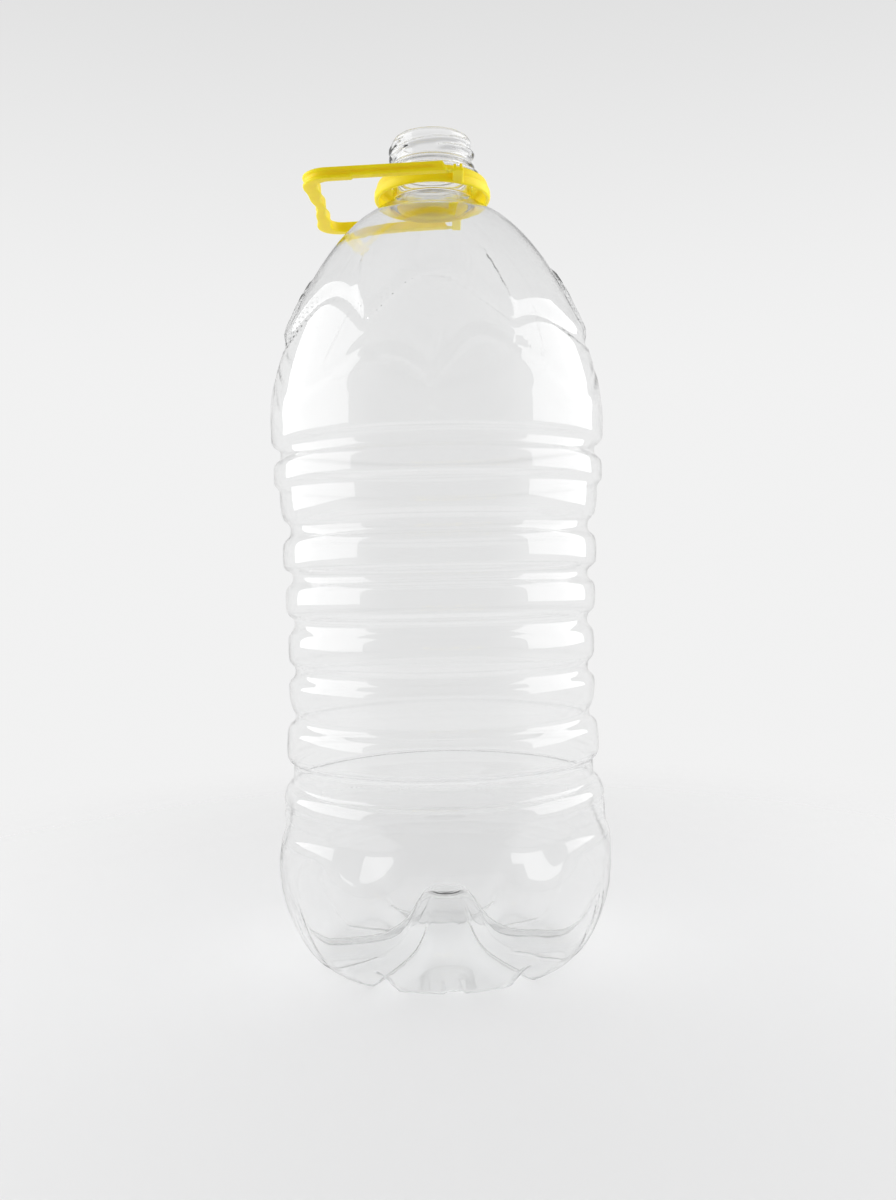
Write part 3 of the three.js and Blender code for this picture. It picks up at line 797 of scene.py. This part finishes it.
# ---- Handle: the living hinges ----
def make_web(name, side, material):
    """A short strap from lug to arm, thinned along the hinge axis at its waist."""
    middle = side * (ARM_OUTER - ARM_THICKNESS / 2)
    half_width = ARM_THICKNESS / 2 - 0.35
    rows = []
    for along in np.linspace(HINGE_GAP + 0.25, -HINGE_GAP - 0.25, 21):
        waist = smooth(0, HINGE_GAP, abs(along))
        half = (WEB_WAIST + (WEB_THICKNESS - WEB_WAIST) * waist) / 2
        turns = np.linspace(0, 2 * math.pi, WEB_SIDES, endpoint=False)
        across = np.sign(np.cos(turns)) * np.abs(np.cos(turns)) ** 0.35 * half_width
        up = np.sign(np.sin(turns)) * np.abs(np.sin(turns)) ** 0.6 * half
        rows.append(np.column_stack([np.full(WEB_SIDES, along), middle + across, up]) + HINGE)
    grid = np.array(rows)
    faces = quads(len(rows), WEB_SIDES)
    faces.append(list(range(WEB_SIDES))[::-1])
    faces.append([(len(rows) - 1) * WEB_SIDES + index for index in range(WEB_SIDES)])
    return make_piece(name, grid.reshape(-1, 3), faces, material)


# ---- Studio ----
def make_camera():
    """A level camera in front of the bottle, a little below its middle, rolled by a degree."""
    camera = bpy.data.objects.new("camera", bpy.data.cameras.new("camera"))
    camera.data.lens = 31.5
    camera.data.sensor_width = 36
    camera.data.shift_y = -0.02125
    camera.data.clip_start = 0.01
    camera.location = (0.00366, -0.4805, 0.1702)
    camera.rotation_euler = (math.radians(90), math.radians(1.16), 0)
    bpy.context.scene.collection.objects.link(camera)
    bpy.context.scene.camera = camera


def make_world():
    """Surroundings that are bright behind the bottle and dimmer above and in front of it."""
    world = bpy.data.worlds.new("studio")
    bpy.context.scene.world = world
    world.use_nodes = True
    tree = world.node_tree
    background = tree.nodes["Background"]
    place = tree.nodes.new("ShaderNodeTexCoord")
    split = tree.nodes.new("ShaderNodeSeparateXYZ")
    tree.links.new(place.outputs["Generated"], split.inputs[0])

    def ramp(source, low, high, from_value, to_value):
        node = tree.nodes.new("ShaderNodeMapRange")
        node.interpolation_type = "SMOOTHSTEP"
        tree.links.new(source, node.inputs["Value"])
        values = {"From Min": low, "From Max": high, "To Min": from_value, "To Max": to_value}
        for name, value in values.items():
            node.inputs[name].default_value = value
        return node.outputs["Result"]

    depth = ramp(split.outputs["Y"], -0.85, -0.1, 0.42, 0.885)
    lift = ramp(split.outputs["Z"], 0.15, 0.95, 1.0, 0.6)
    product = tree.nodes.new("ShaderNodeMath")
    product.operation = "MULTIPLY"
    tree.links.new(depth, product.inputs[0])
    tree.links.new(lift, product.inputs[1])
    tree.links.new(product.outputs[0], background.inputs["Strength"])
    background.inputs["Color"].default_value = (1, 1, 1, 1)


def make_floor():
    """A pale disc that fades into the surroundings at its edge."""
    material, tree, shader, add = new_material("pale_floor")
    shader.inputs["Base Color"].default_value = (0.83, 0.83, 0.833, 1)
    shader.inputs["Roughness"].default_value = 0.6
    shader.inputs["Specular IOR Level"].default_value = 0.2
    place = add("ShaderNodeTexCoord")
    measure = add("ShaderNodeVectorMath", operation="LENGTH")
    fade = add("ShaderNodeMapRange", interpolation_type="SMOOTHSTEP")
    fade.inputs["From Min"].default_value = FLOOR_FADE[0]
    fade.inputs["From Max"].default_value = FLOOR_FADE[1]
    fade.inputs["To Min"].default_value = 1
    fade.inputs["To Max"].default_value = 0
    tree.links.new(place.outputs["Object"], measure.inputs[0])
    tree.links.new(measure.outputs["Value"], fade.inputs["Value"])
    tree.links.new(fade.outputs["Result"], shader.inputs["Alpha"])
    rings = [FLOOR_STEP * index for index in range(1, FLOOR_RINGS + 1)]
    around = np.arange(FLOOR_COLUMNS) / FLOOR_COLUMNS * 2 * math.pi
    grid = lathe_grid([(radius / MM, -FLOOR_DROP) for radius in rings], around).reshape(-1, 3)
    faces = quads(len(rings), FLOOR_COLUMNS)
    centre = len(grid)
    faces += [[centre, (column + 1) % FLOOR_COLUMNS, column] for column in range(FLOOR_COLUMNS)]
    vertices = np.vstack([grid, (0, 0, -FLOOR_DROP)])
    floor = make_piece("floor", vertices, [face[::-1] for face in faces], material)


def make_softbox(name, side, front, back):
    """A large upright softbox beside the bottle."""
    light = bpy.data.lights.new(name, "AREA")
    light.shape = "RECTANGLE"
    light.size = back - front
    light.size_y = SOFTBOX_TOP - SOFTBOX_BOTTOM
    light.energy = SOFTBOX_RADIANCE * math.pi * light.size * light.size_y
    lamp = bpy.data.objects.new(name, light)
    middle = (SOFTBOX_BOTTOM + SOFTBOX_TOP) / 2
    lamp.location = (side * SOFTBOX_DISTANCE, (front + back) / 2, middle)
    lamp.rotation_euler = (math.radians(90), 0, math.radians(90 * side))
    lamp.visible_camera = False
    lamp.visible_transmission = False
    bpy.context.scene.collection.objects.link(lamp)


# ---- Scene ----
make_camera()
bpy.context.scene.view_settings.view_transform = "Standard"
make_world()
make_floor()
make_softbox("softbox_left", -1, -0.42, 0.38)
make_softbox("softbox_right", 1, -0.32, 0.44)

pet = clear_pet()
yellow = yellow_plastic()
bottle = make_bottle(pet)
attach(bottle, "bottle")
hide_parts("bottle_shell")

ring = make_ring(yellow)
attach(ring, "ring")
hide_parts("handle_ring")

bail = make_bail(yellow)
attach(bail, "bail")
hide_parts("handle_bail")

for side, place in ((-1, "front"), (1, "rear")):
    web = make_web(f"yellow_hinge_{place}", side, yellow)
    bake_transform(web)
    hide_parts(f"hinge_web_{place}")
